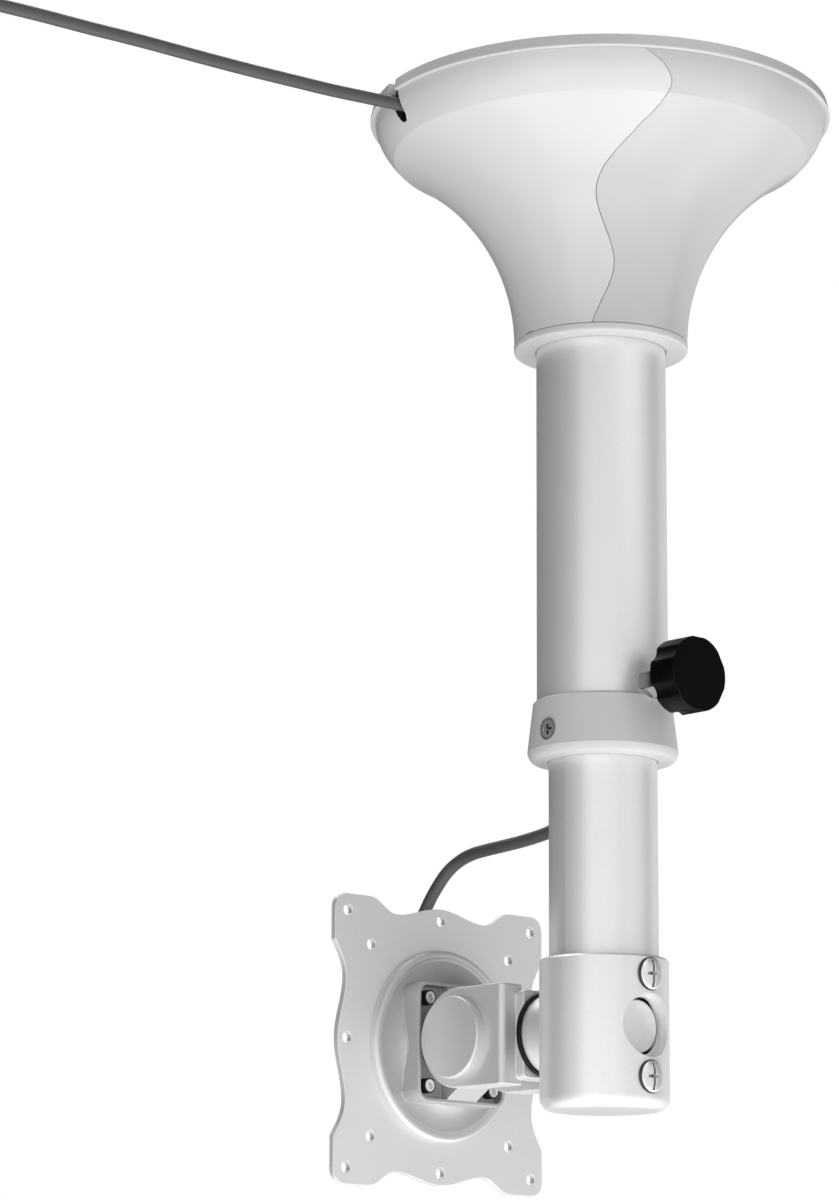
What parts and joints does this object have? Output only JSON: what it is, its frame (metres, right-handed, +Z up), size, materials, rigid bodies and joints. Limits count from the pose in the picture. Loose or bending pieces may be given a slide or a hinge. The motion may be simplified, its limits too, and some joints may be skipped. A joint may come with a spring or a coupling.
{
  "type": "tv ceiling mount",
  "caption": "Ceiling mount for a small screen: bell-shaped cover, telescopic post with clamp knob, end cap with roll joint, tilt fork and square screen plate with wavy edges.",
  "frame": {"origin": "centre of the ceiling plate's top face, which meets the ceiling", "axes": "+Z up along the post's axis, -Y towards the screen, X along the tilt axis"},
  "size_m": [0.3778, 0.2269, 0.4235],
  "materials": {
    "post_paint": "satin silver-grey powder coat",
    "cast_paint": "satin silver-grey coat on die casting",
    "cover_plastic": "smooth white moulding",
    "trim_plastic": "smooth light grey moulding",
    "knob_plastic": "black moulding",
    "black_rubber": "matt black",
    "lead_sheath": "dark grey cable sheath",
    "nylon": "natural nylon",
    "zinc_steel": "zinc plated",
    "dark_screw": "dark zinc plated",
    "bright_steel": "polished nickel plate"
  },
  "bodies": {
    "ceiling_post": {"ceiling_plate": "post_paint", "tube_socket": "post_paint", "flange_screws": "zinc_steel", "flange_nuts": "zinc_steel", "socket_set_screws": "zinc_steel", "cover_front_half": "cover_plastic", "cover_rear_half": "cover_plastic", "cover_ring": "trim_plastic", "upper_tube": "post_paint", "glide_sleeve": "nylon", "collar": "trim_plastic", "collar_screws": "dark_screw", "clamp_nut": "bright_steel", "ceiling_lead": "lead_sheath", "ceiling_outlet": "cover_plastic"},
    "clamp_tip": {"pressure_pad": "nylon"},
    "clamp_handle": {"clamp_stud": "zinc_steel", "clamp_knob": "knob_plastic"},
    "post_glide": {"top_glide": "nylon"},
    "lower_post": {"lower_tube": "post_paint", "lead_grommet": "black_rubber", "end_cap": "cast_paint", "cap_screws": "bright_steel", "roll_spacer": "zinc_steel", "roll_bolt": "cast_paint", "friction_washer": "black_rubber", "roll_washer": "zinc_steel", "roll_nut": "zinc_steel", "screen_lead": "lead_sheath", "plug_boot": "black_rubber", "screen_plug": "knob_plastic"},
    "fork": {"tilt_fork": "cast_paint", "pivot_covers": "cast_paint", "tilt_bolt": "zinc_steel", "tilt_nut": "zinc_steel", "tilt_washers": "nylon"},
    "head": {"tilt_base": "cast_paint", "base_screws": "dark_screw", "boss_disc": "cast_paint", "screen_plate": "post_paint"}
  },
  "joints": [
    {"name": "clamp_travel", "type": "slide", "parent": "ceiling_post", "child": "clamp_tip", "axis": [0, 1, 0], "range_m": [0, 0.002]},
    {"name": "clamp_turn", "type": "hinge", "parent": "clamp_tip", "child": "clamp_handle", "pos_m": [0, 0.045, -0.236], "axis": [0, 1, 0], "range_deg": [0, 720]},
    {"name": "post_slide", "type": "slide", "parent": "ceiling_post", "child": "post_glide", "axis": [0, 0, 1], "range_m": [-0.15, 0.01]},
    {"name": "post_swivel", "type": "hinge", "parent": "post_glide", "child": "lower_post", "pos_m": [0, 0, -0.05], "axis": [0, 0, 1], "range_deg": [-180, 180]},
    {"name": "head_roll", "type": "hinge", "parent": "lower_post", "child": "fork", "pos_m": [0, -0.031, -0.367], "axis": [0, 1, 0], "range_deg": [-20, 20]},
    {"name": "screen_tilt", "type": "hinge", "parent": "fork", "child": "head", "pos_m": [0, -0.061, -0.367], "axis": [1, 0, 0], "range_deg": [-15, 30]}
  ],
  "couplings": [
    {"joint": "clamp_travel", "follows": "clamp_turn", "m_per_rad": 0.000159}
  ]
}
